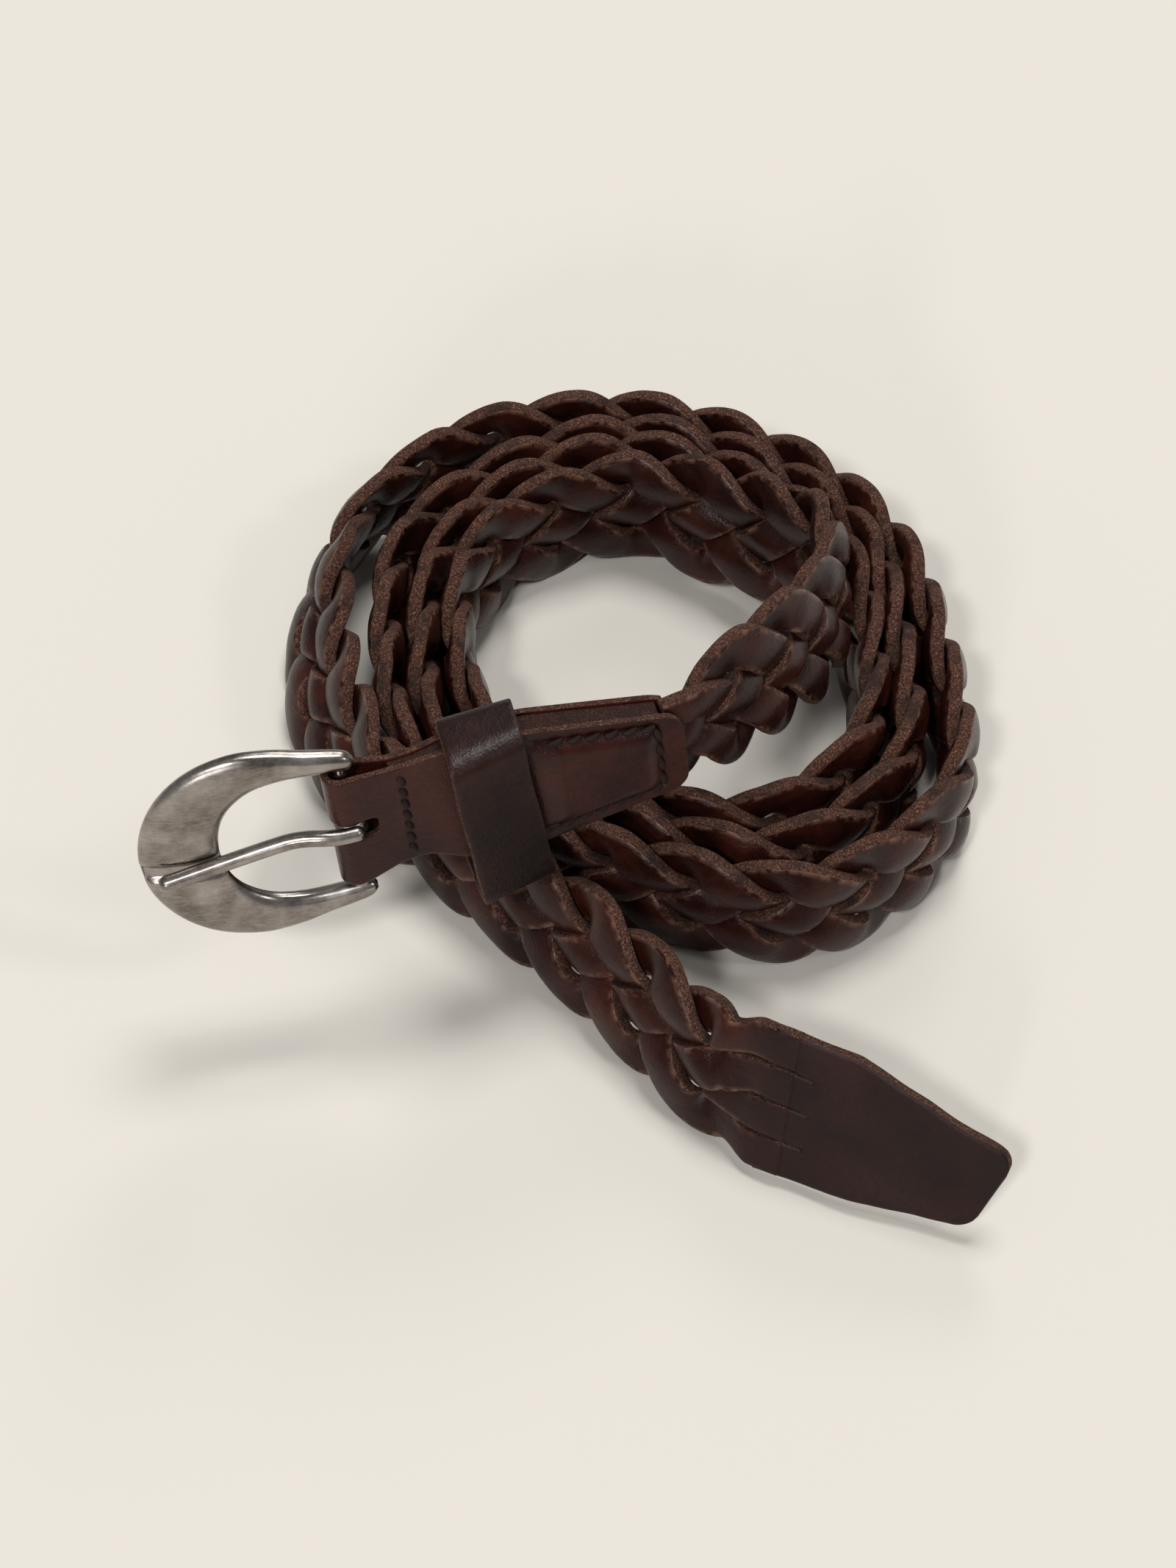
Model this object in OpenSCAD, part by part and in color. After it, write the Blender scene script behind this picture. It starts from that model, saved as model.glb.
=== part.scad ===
// A braided leather belt, wound up and stood on its edge: four leather strands
// plaited flat, a solid tip, a folded chape that holds the buckle, and a loose keeper.
// The strap's own directions are s along it from the buckle, u up its width and v out of its
// outer face. Flat pieces at either end are drawn with x = s, y = u and z = v.

/* [Braid] */
// Width of the braided strap
strap_w = 28; // [27:0.5:29]
// Width of one strand
strand_w = 7.2; // [6.6:0.2:7.2]
// Thickness of one strand
strand_t = 1.7; // [1.5:0.1:1.7]
// Distance between neighbouring strands along an edge
pitch = 16.6; // [15:0.1:18]
// How far a strand's middle rises above or dips below the strap's middle
strand_rise = 1.25; // [1.25:0.05:1.4]

/* [Tip] */
// Length of the solid leather tip
tip_len = 44; // [40:1:48]
// Thickness of the tip
tip_t = 2.4; // [2:0.1:3]

/* [Chape] */
// Thickness of the folded leather
ply_t = 1.4; // [1.2:0.1:1.5]
// Length from the heel bar to the end of the front tab
tab_len = 61.5; // [60:0.5:63]
// Width of the end of the tab
tab_end_w = 16; // [14:1:18]
// Width of the slot for the prong
slot_w = 5; // [4.6:0.1:6]

/* [Buckle] */
// Radius of the heel bar that the frame and the prong turn on
bar_r = 1.8; // [1.6:0.1:1.9]
// Distance from the heel bar to the outside of the crown
frame_len = 38; // [37.5:0.5:40]
// Distance between the middles of the two arms at the heel bar
arm_gap = 31.6; // [31.4:0.2:34]
// Widest distance between the middles of the arms
frame_w = 37; // [35:0.5:39]
// Radius of the prong's wire
prong_r = 1.5; // [1.3:0.1:1.6]

/* [Keeper] */
// Width of the keeper band
keeper_w = 14; // [12:0.5:16]
// Height inside the keeper band
keeper_h = 33; // [32:0.5:33]
// Thickness of the keeper's leather
keeper_t = 1.6; // [1.4:0.1:1.8]

/* [Hidden] */
$fn = 48;

// Moves the middle of the whole belt's outline to the origin
to_middle = [10.4, 29, 0];

// ---- The strap's route ----
// The heel bar's middle, and the heading, rise and lean of the straight buckle end
bar_pos = [-50.5, -66.8, 48];
end_heading = 15.5;
end_rise = 4;
end_lean = 8;
straight_len = 59;

// The tip's end of the route: where the flat tip starts, its heading and its lean
tip_pos = [25, -104, 15.7];
tip_heading = -21;
tip_lean = 20;

// [x, y, height, lean] of the strap's middle as it comes down off the coil
climb = [
    [14.4, -43, 51.2, 9], [24.8, -30.4, 47.4, 11], [32.5, -18, 42, 12], [37.7, -5.2, 36.5, 10],
    [39.6, 7.8, 31, 4], [37.4, 19.2, 26, -4], [31.5, 26.5, 22, -11], [23.4, 32.6, 19, -15], [12.6, 39.5, 16.5, -10]
];

// [angle, radius, lean] of the strap's middle round the coil, every 30 degrees
coil = [
    [90, 45.3, 0], [120, 42.2, 0], [150, 37.6, 0], [180, 33.2, 0], [210, 33.8, 0], [240, 36.6, 0],
    [270, 40.8, 0], [300, 49.5, 0], [330, 50.5, 0], [360, 46.5, -6],
    [390, 47.5, -10], [420, 48, -10], [450, 51, -3], [480, 47.9, 0], [510, 44.2, 0], [540, 40.2, 0],
    [570, 43, 0], [600, 42.3, 0], [630, 46.4, 0], [660, 58.5, 0], [690, 59.3, 0], [720, 53, 0],
    [750, 53, -8], [780, 53.5, -8], [810, 56.4, -2], [840, 53.5, 0], [870, 52, 0], [900, 47.4, 0],
    [930, 49.2, 0], [960, 48, 0], [990, 53.4, 0], [1020, 69, 0], [1050, 70.5, 0], [1080, 60.5, 0],
    [1110, 58.6, -6], [1140, 59, -6], [1170, 63, 0], [1200, 67, 8], [1230, 66.8, 18],
    [1260, 60.6, 28], [1290, 57.4, 14]
];

// [x, y, lean] of the strap's middle from the coil to the tip
tail = [
    [-40, -37.5, 5], [-32.5, -46, 8], [-24.5, -53.5, 11], [-16, -61.5, 14], [-8, -69.5, 15],
    [-0.5, -78, 16], [7, -87, 17], [14.5, -95.5, 18]
];

// Height of the strap's middle when its lower edge is on the floor
foot = 0;
function floor_height(lean) = foot + strap_w / 2 * cos(lean) + strand_t / 2 * abs(sin(lean));

function ahead(heading, rise) = [cos(heading) * cos(rise), sin(heading) * cos(rise), sin(rise)];

function straight_end(at) = [
    for (s = at) let (p = bar_pos + s * ahead(end_heading, end_rise)) [p.x, p.y, p.z, end_lean]
];
function straight_tip(at) = [
    for (s = at) let (p = tip_pos + s * ahead(tip_heading, 0)) [p.x, p.y, p.z, tip_lean]
];

knots = concat(
    straight_end([-20, 0, 20, 40, straight_len]),
    climb,
    [for (c = coil) [c[1] * cos(c[0]), c[1] * sin(c[0]), floor_height(c[2]), c[2]]],
    [for (t = tail) [t.x, t.y, floor_height(t.z), t.z]],
    straight_tip([0, 15, 30, 45])
);

// A smooth curve through the knots, and its length up to each step of it
knot_steps = 6;
function curve_at(i, f) =
    let (a = knots[i - 1], b = knots[i], c = knots[i + 1], d = knots[i + 2])
    0.5 * (2 * b + (c - a) * f + (2 * a - 5 * b + 4 * c - d) * f * f
        + (3 * b - a - 3 * c + d) * f * f * f);
curve = [
    for (i = [1:len(knots) - 3], n = [0:knot_steps - 1]) curve_at(i, n / knot_steps),
    knots[len(knots) - 2]
];
function place_of(p) = [p.x, p.y, p.z];
function running(v, i = 0, sum = 0) =
    i >= len(v) - 1 ? [sum] : concat([sum], running(v, i + 1, sum + norm(place_of(v[i + 1] - v[i]))));
lengths = running(curve);
route_len = lengths[len(lengths) - 1];
tables = [for (k = [0:3]) [for (i = [0:len(curve) - 1]) [lengths[i], curve[i][k]]]];

function unit(v) = v / norm(v);
function middle_at(s) = [lookup(s, tables[0]), lookup(s, tables[1]), lookup(s, tables[2])];
function lean_at(s) = lookup(s, tables[3]);

// A point of the strap from its s, u and v
look = 2.5;
function strap_point(s, u, v) =
    let (
        t = unit(middle_at(s + look) - middle_at(s - look)),
        up = unit([0, 0, 1] - t.z * t),
        out = cross(t, up),
        lean = lean_at(s)
    )
    middle_at(s) + u * (up * cos(lean) - out * sin(lean)) + v * (out * cos(lean) + up * sin(lean));

// ---- The four-strand braid ----
swing = (strap_w - strand_w) / 2;
period = 4 * pitch;
braid_start = 58.5;
tip_start = route_len - 30;
merge_len = 11;
braid_end = tip_start - merge_len;
end_phase = -68;
slot_gap = 7.7;

// The braid is pressed thinner where it comes out from under the tab
function press_at(s) = lookup(s, [[66, 0.75], [84, 1]]);

// It is also narrow there, and spreads to its full width as it leaves the tab
function squeeze_at(s) = lookup(s, [[59, 0.66], [64, 0.71], [75, 0.95], [80, 1]]);

// Sideways wave of a strand, from edge to edge and nearly straight between them
function wave(a) = 0.9 * (sin(a) - sin(3 * a) / 9);

// Angles of the wave where a strand has its rings, over half a period
ring_angles = [-90, -66, -40, -23.7, -8.5, 8.5, 23.7, 40, 66];

// The strand's level over that half period: over, under, over, and level at the two edges.
// It changes between crossings, sooner along one side of the strand than along the other.
level_line = [[-90, 0], [-68, 1], [-28, 1], [-19.5, -1], [19.5, -1], [28, 1], [68, 1], [90, 0]];
skew = 21;

// One ring of a strand: a flat six-sided section across its path
section = [[-0.5, 0], [-0.3, -0.5], [0.3, -0.5], [0.5, 0], [0.3, 0.5], [-0.3, 0.5]];
function ring(s, u, slope, w, heights) =
    let (n = norm([1, slope]))
    [for (i = [0:5]) let (c = section[i])
        strap_point(s - c.x * w * slope / n, u + c.x * w / n, c.y * strand_t + heights[i])];

function strand_rings(k) =
    let (
        slot = [1.5, 0.5, -1.5, -0.5][k],
        turns = ceil((braid_end - braid_start) / period) + 1,
        shift = end_phase - 90 * k,
        flat = [for (c = section) 0]
    )
    concat(
        [for (n = [-turns:1], half = [-1, 1], r = ring_angles)
            let (
                a = 360 * n + r + 90 * (half + 1),
                s = braid_end + (a - shift) * period / 360,
                narrow = squeeze_at(s),
                slope = half * swing * narrow * 0.9 * (cos(r) - cos(3 * r) / 3) * 2 * PI / period,
                rise = -half * strand_rise * press_at(s)
            )
            if (s > braid_start && s < braid_end - 1)
                ring(s, -swing * narrow * wave(a), slope, strand_w * narrow,
                    [for (c = section) rise * lookup(r + half * skew * c.x, level_line)])],
        [ring(tip_start - 4, slot * slot_gap, 0, slot_gap - 0.5, flat),
            ring(tip_start - 0.2, slot * slot_gap, 0, slot_gap - 0.3, flat)]
    );

// Closes a list of rings into one solid
module skin(loops) {
    m = len(loops[0]);
    last = len(loops) - 1;
    polyhedron(
        points = [for (l = loops, p = l) p],
        faces = concat(
            [[for (j = [0:m - 1]) j]],
            [for (i = [0:last - 1], j = [0:m - 1]) each [
                [i * m + j, (i + 1) * m + j, (i + 1) * m + (j + 1) % m],
                [i * m + j, (i + 1) * m + (j + 1) % m, i * m + (j + 1) % m]
            ]],
            [[for (j = [m - 1:-1:0]) last * m + j]]
        )
    );
}

module strand(k) {
    color([0.24, 0.13, 0.1]) translate(to_middle) skin(strand_rings(k));
}

// ---- Placing the flat end pieces ----
module on_strap_end() {
    translate(to_middle + bar_pos) rotate([0, -end_rise, end_heading]) rotate([90 - end_lean, 0, 0]) children();
}
module on_tip() {
    translate(to_middle + tip_pos) rotate([0, 0, tip_heading]) rotate([90 - tip_lean, 0, 0]) children();
}

module tip() {
    h = 2 * slot_gap;
    color([0.2, 0.1, 0.08]) on_tip() translate([0, 0, -tip_t / 2]) linear_extrude(tip_t)
        offset(3) offset(delta = -3)
            polygon([[0, -h], [14, -h], [tip_len - 5, -h + 1.5], [tip_len + 1, h - 12], [14, h - 1.5], [0, h]]);
}

// ---- The folded end that holds the buckle ----
fold_r = bar_r + 0.3;
mouth = 2.3;
pinch = 0.9;
front_end = 26;
back_end = tab_len - 1.8;
slot_end = 5.4;
fold_half = 12.5;
body_half = 13.3;
end_half = tab_end_w / 2;

// Height of a ply's inner face above the stack's middle
ply_line = [[0, fold_r], [8.5, pinch], [13, pinch], [34, mouth], [back_end, mouth]];
function ply_at(s) = lookup(s, ply_line);

// A ply seen from the side, between two places along the strap
function places_between(from, to) = concat([from], [for (p = ply_line) if (p.x > from && p.x < to) p.x], [to]);
module ply_side(from, to) {
    inner = places_between(from, to);
    polygon(concat(
        [for (s = inner) [s, ply_at(s)]],
        [for (i = [len(inner) - 1:-1:0]) [inner[i], ply_at(inner[i]) + ply_t]]
    ));
}

// The folded piece seen from the side, as one line: out along the front, round the bar, in along the back
fold_front = places_between(0.05, front_end);
fold_back = places_between(0.05, back_end);
function fold_line(out) = concat(
    [for (i = [len(fold_front) - 1:-1:0]) [fold_front[i], ply_at(fold_front[i]) + out]],
    [for (a = [90:10:270]) (fold_r + out) * [cos(a), sin(a)]],
    [for (s = fold_back) [s, -ply_at(s) - out]]
);
module fold_side() {
    inner = fold_line(0);
    polygon(concat(fold_line(ply_t), [for (i = [len(inner) - 1:-1:0]) inner[i]]));
}

// Turns a side view, with x = s and y = v, into a slab across the whole strap
module across() {
    rotate([90, 0, 0]) linear_extrude(40, center = true) children();
}

module outline(inset) {
    far = [[20, body_half], [33, body_half], [back_end - 2, end_half + 0.5], [back_end, end_half - 1.5]];
    top = concat([[-6, fold_half], [0.5, fold_half], [8, 11.6], [13, 11.8]], far);
    bottom = concat([[-6, fold_half], [0.5, fold_half], [8, 10.5], [13, 10.2]], far);
    polygon(concat(
        [for (p = top) [p.x, p.y - inset]],
        [for (i = [len(bottom) - 1:-1:0]) [bottom[i].x, inset - bottom[i].y]]
    ));
}

// Places where the thread goes through the leather
bar_holes = [for (n = [-3.5:3.5]) [10.2, n * 2.7 + 0.5]];
row_top = [for (n = [0:6]) [36.5 + n * 3.35, 10 - n * 0.5]];
row_end = [for (n = [1:3]) [56.6, 7 - n * 3.5]];
row_bottom = [for (n = [6:-1:0]) [36.5 + n * 3.35, -10 + n * 0.5]];
tab_holes = concat(row_top, row_end, row_bottom);
thread_r = 0.3;

module holes(places) {
    for (p = places) translate([p.x, p.y, 0]) cylinder(r = thread_r + 0.05, h = 20, center = true, $fn = 16);
}

module chape() {
    color([0.23, 0.12, 0.09]) on_strap_end() difference() {
        intersection() {
            linear_extrude(20, center = true) outline(0);
            across() fold_side();
        }
        translate([-10, -slot_w / 2, -10]) cube([slot_end + 10 - slot_w / 2, slot_w, 20]);
        translate([slot_end - slot_w / 2, 0, -10]) cylinder(d = slot_w, h = 20);
        holes(bar_holes);
        holes(tab_holes);
    }
}

module tab() {
    color([0.23, 0.11, 0.08]) on_strap_end() difference() {
        intersection() {
            translate([1, 0, 0]) linear_extrude(20, center = true) outline(0);
            across() ply_side(front_end + 0.3, tab_len);
        }
        holes(tab_holes);
    }
}

module liner() {
    gap = 0.1;
    inner = [8.6, 13, 34, braid_start - 0.8];
    color([0.42, 0.26, 0.19]) on_strap_end() difference() {
        intersection() {
            linear_extrude(20, center = true) outline(0.6);
            across() polygon(concat(
                [for (s = inner) [s, ply_at(s) - gap]],
                [for (i = [len(inner) - 1:-1:0]) [inner[i], gap - ply_at(inner[i])]]
            ));
        }
        holes(bar_holes);
        holes(tab_holes);
    }
}

// ---- Thread: stitches on both faces, joined through the leather ----
module rod(a, b, r, sides) {
    d = b - a;
    translate(a) rotate([0, acos(d.z / norm(d)), atan2(d.y, d.x)]) cylinder(r = r, h = norm(d), $fn = sides);
}

module thread(places) {
    lift = ply_t + thread_r + 0.03;
    for (p = places)
        translate([p.x, p.y, 0])
            cylinder(r = thread_r, h = 2 * (ply_at(p.x) + lift + 0.8 * thread_r), center = true, $fn = 8);
    for (side = [-1, 1], i = [0:len(places) - 2])
        rod([places[i].x, places[i].y, side * (ply_at(places[i].x) + lift)],
            [places[i + 1].x, places[i + 1].y, side * (ply_at(places[i + 1].x) + lift)], 0.9 * thread_r, 8);
}

module bar_stitches() {
    color([0.12, 0.06, 0.05]) on_strap_end() thread(bar_holes);
}
module tab_stitches() {
    color([0.12, 0.06, 0.05]) on_strap_end() thread(tab_holes);
}

// ---- Keeper: a band round the strap, its ends stapled together at the back ----
keeper_s = 26.2;
keeper_hang = -2.6;
keeper_turn = 2.5;
keeper_depth = 9;
staple_r = 0.4;
staple_half = 2.6;

module on_keeper() {
    on_strap_end() translate([keeper_s, keeper_hang, 0]) rotate([0, 0, keeper_turn]) children();
}
module band_section(grow) {
    offset(2 + grow) square([keeper_depth - 4, keeper_h - 4], center = true);
}
module keeper() {
    color([0.21, 0.12, 0.1]) on_keeper() difference() {
        rotate([0, 90, 0]) linear_extrude(keeper_w, center = true) difference() {
            band_section(keeper_t);
            band_section(0);
        }
        translate([0, 0, -keeper_depth / 2]) cube([keeper_w + 2, 0.4, 2 * keeper_t + 2], center = true);
        for (y = [-staple_half, staple_half])
            translate([0, y, -keeper_depth / 2 - keeper_t - 1]) cylinder(r = staple_r + 0.05, h = keeper_t + 2, $fn = 16);
    }
}
module keeper_staple() {
    back = -keeper_depth / 2 - keeper_t - staple_r - 0.05;
    color([0.7, 0.7, 0.68]) on_keeper() {
        rod([0, -staple_half, back], [0, staple_half, back], staple_r, 16);
        for (y = [-staple_half, staple_half]) {
            translate([0, y, back]) sphere(staple_r, $fn = 16);
            translate([0, y, back]) cylinder(r = staple_r, h = keeper_t + staple_r + 0.05, $fn = 16);
        }
    }
}

// ---- Buckle ----
frame_tilt = -5;
frame_slip = -0.7;
crown_half = 7.2;
peg_r = 1.1;
bar_half = arm_gap / 2 - 2.15;

module on_frame() {
    on_strap_end() translate([0, frame_slip, 0]) rotate([0, frame_tilt, 0]) children();
}

// One half of the frame: [s and u of its outside, s and u of its inside, half thickness]
side_u = arm_gap / 2;
wide_u = frame_w / 2;
crown_s = 2 * crown_half - frame_len;
arm_line = [
    [2.8, side_u + 0.1, 2.8, side_u - 0.8, 0.8], [1.9, side_u + 1.2, 1.9, side_u - 1.8, 1.5],
    [0, side_u + 2, 0, side_u - 2, 1.8], [-6, side_u + 3.4, -5.5, side_u - 1.7, 2],
    [-12, wide_u + 2.3, -10.5, wide_u - 4.4, 2.1], [-19, wide_u + 2.8, -15.5, wide_u - 5.4, 2.2],
    [11.5 - frame_len, wide_u + 0.7, crown_s + 4.4, wide_u - 7.7, 2.2],
    [5.5 - frame_len, wide_u - 3.9, crown_s + 1.9, 7.8, 2.1],
    [1.4 - frame_len, 7.8, crown_s + 0.5, 4.1, 1.9], [-frame_len, 0, crown_s, 0, 1.8]
];
frame_line = concat(
    arm_line,
    [for (i = [len(arm_line) - 2:-1:0]) let (a = arm_line[i]) [a[0], -a[1], a[2], -a[3], a[4]]]
);
frame_steps = 3;
function frame_at(i, f) =
    let (
        n = len(frame_line) - 1,
        a = frame_line[max(i - 1, 0)], b = frame_line[i],
        c = frame_line[i + 1], d = frame_line[min(i + 2, n)]
    )
    0.5 * (2 * b + (c - a) * f + (2 * a - 5 * b + 4 * c - d) * f * f + (3 * b - a - 3 * c + d) * f * f * f);
frame_curve = [
    for (i = [0:len(frame_line) - 2], n = [0:frame_steps - 1]) frame_at(i, n / frame_steps),
    frame_line[len(frame_line) - 1]
];
function frame_ring(i) =
    let (p = frame_curve[i], mid = [p[0] + p[2], p[1] + p[3]] / 2, half = [p[2] - p[0], p[3] - p[1]] / 2)
    [for (a = [0:30:330]) [mid.x + half.x * cos(a), mid.y + half.y * cos(a), p[4] * sin(a)]];

module buckle_frame() {
    color([0.76, 0.75, 0.73]) on_frame() difference() {
        skin([for (i = [0:len(frame_curve) - 1]) frame_ring(i)]);
        rotate([90, 0, 0]) cylinder(r = peg_r + 0.05, h = arm_gap + 0.4, center = true);
    }
}

module heel_bar() {
    color([0.7, 0.69, 0.67]) on_frame() rotate([90, 0, 0]) {
        cylinder(r = bar_r, h = 2 * bar_half, center = true);
        cylinder(r = peg_r, h = arm_gap, center = true);
    }
}

eye_r = bar_r + 0.05;
wire_v = eye_r + prong_r + 0.1;
prong_end = [0.6, 0, wire_v];
prong_bend = [-7.3, 0.8, 1];
prong_tip = [-34, -2.8, 0.6];
prong_sides = 24;
core_r = prong_r - 0.04;

// [middle, radius] of each ring of the bent part of the wire, from its rounded end into the shank
wire_back = unit(prong_bend - prong_end);
wire_front = unit(prong_tip - prong_bend);
wire_rings = concat(
    [for (a = [80, 60, 30, 0]) [prong_end - wire_back * core_r * sin(a), core_r * cos(a)]],
    [[prong_bend, core_r], [prong_bend + 2 * wire_front, core_r]]
);
function wire_dir(i) = i < 4 ? wire_back : i == 4 ? unit(wire_back + wire_front) : wire_front;
function wire_ring(i) =
    let (d = wire_dir(i), side = unit(cross(d, [0, 0, 1])), up = cross(side, d), q = wire_rings[i])
    [for (j = [0:prong_sides - 1]) let (a = -360 * j / prong_sides) q[0] + q[1] * (side * cos(a) + up * sin(a))];

// The shank is straight and then tapers a little towards its tip
shank_len = 11.5;
taper = 0.2;
round_off = 0.5;
module shank() {
    d = prong_tip - prong_bend;
    translate(prong_bend) rotate([0, acos(d.z / norm(d)), atan2(d.y, d.x)]) {
        translate([0, 0, 0.3]) cylinder(r = prong_r, h = shank_len - 0.3);
        translate([0, 0, shank_len]) cylinder(r1 = prong_r, r2 = prong_r - taper, h = norm(d) - shank_len);
        translate([0, 0, norm(d)]) cylinder(r1 = prong_r - taper, r2 = prong_r - taper - round_off, h = round_off);
    }
}

module prong() {
    color([0.8, 0.79, 0.77]) on_strap_end() difference() {
        union() {
            rotate([90, 0, 0]) cylinder(r = eye_r + 1.3, h = 3.2, center = true);
            skin([for (i = [0:len(wire_rings) - 1]) wire_ring(i)]);
            shank();
        }
        rotate([90, 0, 0]) cylinder(r = eye_r, h = 10, center = true);
    }
}

strand(0);  // strand_1
strand(1);  // strand_2
strand(2);  // strand_3
strand(3);  // strand_4
tip();
chape();
tab();
liner();
bar_stitches();
tab_stitches();
keeper();
keeper_staple();
buckle_frame();
heel_bar();
prong();
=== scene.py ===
"""A brown braided leather belt, wound up and stood on its edge, with a nickel horseshoe buckle."""

import math

import bmesh
import bpy
import numpy as np
from mathutils import Matrix, Vector, noise


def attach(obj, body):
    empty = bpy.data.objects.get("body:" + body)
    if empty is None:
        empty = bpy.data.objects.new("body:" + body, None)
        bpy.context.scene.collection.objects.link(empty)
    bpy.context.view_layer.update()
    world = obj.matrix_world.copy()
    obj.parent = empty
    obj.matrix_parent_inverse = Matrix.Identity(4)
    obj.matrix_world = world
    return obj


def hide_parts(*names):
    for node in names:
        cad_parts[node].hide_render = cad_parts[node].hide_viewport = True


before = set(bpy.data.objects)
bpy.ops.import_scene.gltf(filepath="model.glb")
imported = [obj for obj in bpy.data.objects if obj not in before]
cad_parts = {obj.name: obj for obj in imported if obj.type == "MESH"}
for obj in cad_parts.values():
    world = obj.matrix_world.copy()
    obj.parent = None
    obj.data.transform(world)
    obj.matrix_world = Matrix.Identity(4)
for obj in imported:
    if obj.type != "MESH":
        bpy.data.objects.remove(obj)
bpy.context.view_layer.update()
MM = 0.001


def cosd(a):
    return np.cos(np.radians(a))


def sind(a):
    return np.sin(np.radians(a))


# ---------------------------------------------------------------- the strap's route, in millimetres
# Headings, rises and leans are in degrees. A lean is the strap's tilt from standing upright on its edge.
STRAP_W = 28.0
# the strands of the CAD are slimmer than the drawn ones
CAD_STRAND_W, CAD_STRAND_T = 7.2, 1.7
TO_MIDDLE = np.array([10.4, 29.0, 0.0])
# the straight buckle end, from the heel bar
BAR_POS = np.array([-50.5, -66.8, 48.0])
END_HEADING, END_RISE, END_LEAN, STRAIGHT_LEN = 15.5, 4.0, 8.0, 59.0
# the straight tip
TIP_POS = np.array([25.0, -104.0, 15.7])
TIP_HEADING, TIP_LEAN = -21.0, 20.0
# [x, y, z, lean] from the buckle end down to the coil
CLIMB = [
    [14.4, -43, 51.2, 9], [24.8, -30.4, 47.4, 11], [32.5, -18, 42, 12], [37.7, -5.2, 36.5, 10],
    [39.6, 7.8, 31, 4], [37.4, 19.2, 26, -4], [31.5, 26.5, 22, -11], [23.4, 32.6, 19, -15],
    [12.6, 39.5, 16.5, -10],
]
# [angle round the coil, radius, lean] of the windings that stand on the floor
COIL = [
    [90, 45.3, 0], [120, 42.2, 0], [150, 37.6, 0], [180, 33.2, 0], [210, 33.8, 0], [240, 36.6, 0],
    [270, 40.8, 0], [300, 49.5, 0], [330, 50.5, 0], [360, 46.5, -6],
    [390, 47.5, -10], [420, 48, -10], [450, 51, -3], [480, 47.9, 0], [510, 44.2, 0], [540, 40.2, 0],
    [570, 43, 0], [600, 42.3, 0], [630, 46.4, 0], [660, 58.5, 0], [690, 59.3, 0], [720, 53, 0],
    [750, 53, -8], [780, 53.5, -8], [810, 56.4, -2], [840, 53.5, 0], [870, 52, 0], [900, 47.4, 0],
    [930, 49.2, 0], [960, 48, 0], [990, 53.4, 0], [1020, 69, 0], [1050, 70.5, 0], [1080, 60.5, 0],
    [1110, 58.6, -6], [1140, 59, -6], [1170, 63, 0], [1200, 67, 8], [1230, 66.8, 18],
    [1260, 60.6, 28], [1290, 57.4, 14],
]
# [x, y, lean] from the coil out to the tip
TAIL = [
    [-40, -37.5, 5], [-32.5, -46, 8], [-24.5, -53.5, 11], [-16, -61.5, 14], [-8, -69.5, 15],
    [-0.5, -78, 16], [7, -87, 17], [14.5, -95.5, 18],
]
ROUTE_STEPS = 16
# half the length that the strap's direction at a place is taken over
TANGENT_REACH = 2.5


def spline(knots, steps):
    """A smooth curve through the knots. The first and the last only steer it."""
    out = []
    for a, b, c, d in zip(knots, knots[1:], knots[2:], knots[3:]):
        for f in np.arange(steps) / steps:
            square = (2 * a - 5 * b + 4 * c - d) * f**2
            cube = (3 * b - a - 3 * c + d) * f**3
            out.append(0.5 * (2 * b + (c - a) * f + square + cube))
    out.append(knots[-2])
    return np.array(out)


def ahead(heading, rise):
    return np.array([cosd(heading) * cosd(rise), sind(heading) * cosd(rise), sind(rise)])


def floor_height(lean):
    """How high the strap's middle is where its lower edge stands on the floor."""
    return STRAP_W / 2 * cosd(lean) + CAD_STRAND_T / 2 * abs(sind(lean))


def route_curve():
    """[x, y, z, lean] along the middle of the strap, from before the heel bar to past the tip."""
    straight = (-20, 0, 20, 40, STRAIGHT_LEN)
    knots = [[*(BAR_POS + s * ahead(END_HEADING, END_RISE)), END_LEAN] for s in straight]
    knots += CLIMB
    knots += [[r * cosd(a), r * sind(a), floor_height(lean), lean] for a, r, lean in COIL]
    knots += [[x, y, floor_height(lean), lean] for x, y, lean in TAIL]
    knots += [[*(TIP_POS + s * ahead(TIP_HEADING, 0)), TIP_LEAN] for s in (0, 15, 30, 45)]
    return spline(np.array(knots, float), ROUTE_STEPS)


CURVE = route_curve()
LENGTHS = np.r_[0, np.cumsum(np.linalg.norm(np.diff(CURVE[:, :3], axis=0), axis=1))]
ROUTE_LEN = LENGTHS[-1]


def middle(s):
    return np.stack([np.interp(s, LENGTHS, CURVE[:, i]) for i in range(3)], axis=-1)


def strap_point(s, u, v):
    """Places along the strap, up its width and out of its face, in mm, to points of the frame in metres."""
    s, u, v = np.broadcast_arrays(np.asarray(s, float), u, v)
    t = middle(s + TANGENT_REACH) - middle(s - TANGENT_REACH)
    t /= np.linalg.norm(t, axis=-1, keepdims=True)
    up = np.array([0, 0, 1.0]) - t[..., 2:] * t
    up /= np.linalg.norm(up, axis=-1, keepdims=True)
    out = np.cross(t, up)
    lean = np.radians(np.interp(s, LENGTHS, CURVE[:, 3]))[..., None]
    wide = up * np.cos(lean) - out * np.sin(lean)
    face = out * np.cos(lean) + up * np.sin(lean)
    return (middle(s) + u[..., None] * wide + v[..., None] * face + TO_MIDDLE) * MM


def rot(axis, deg):
    return np.array(Matrix.Rotation(math.radians(deg), 3, axis))


END_AXES = rot("Z", END_HEADING) @ rot("Y", -END_RISE) @ rot("X", 90 - END_LEAN)
TIP_AXES = rot("Z", TIP_HEADING) @ rot("X", 90 - TIP_LEAN)


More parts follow.
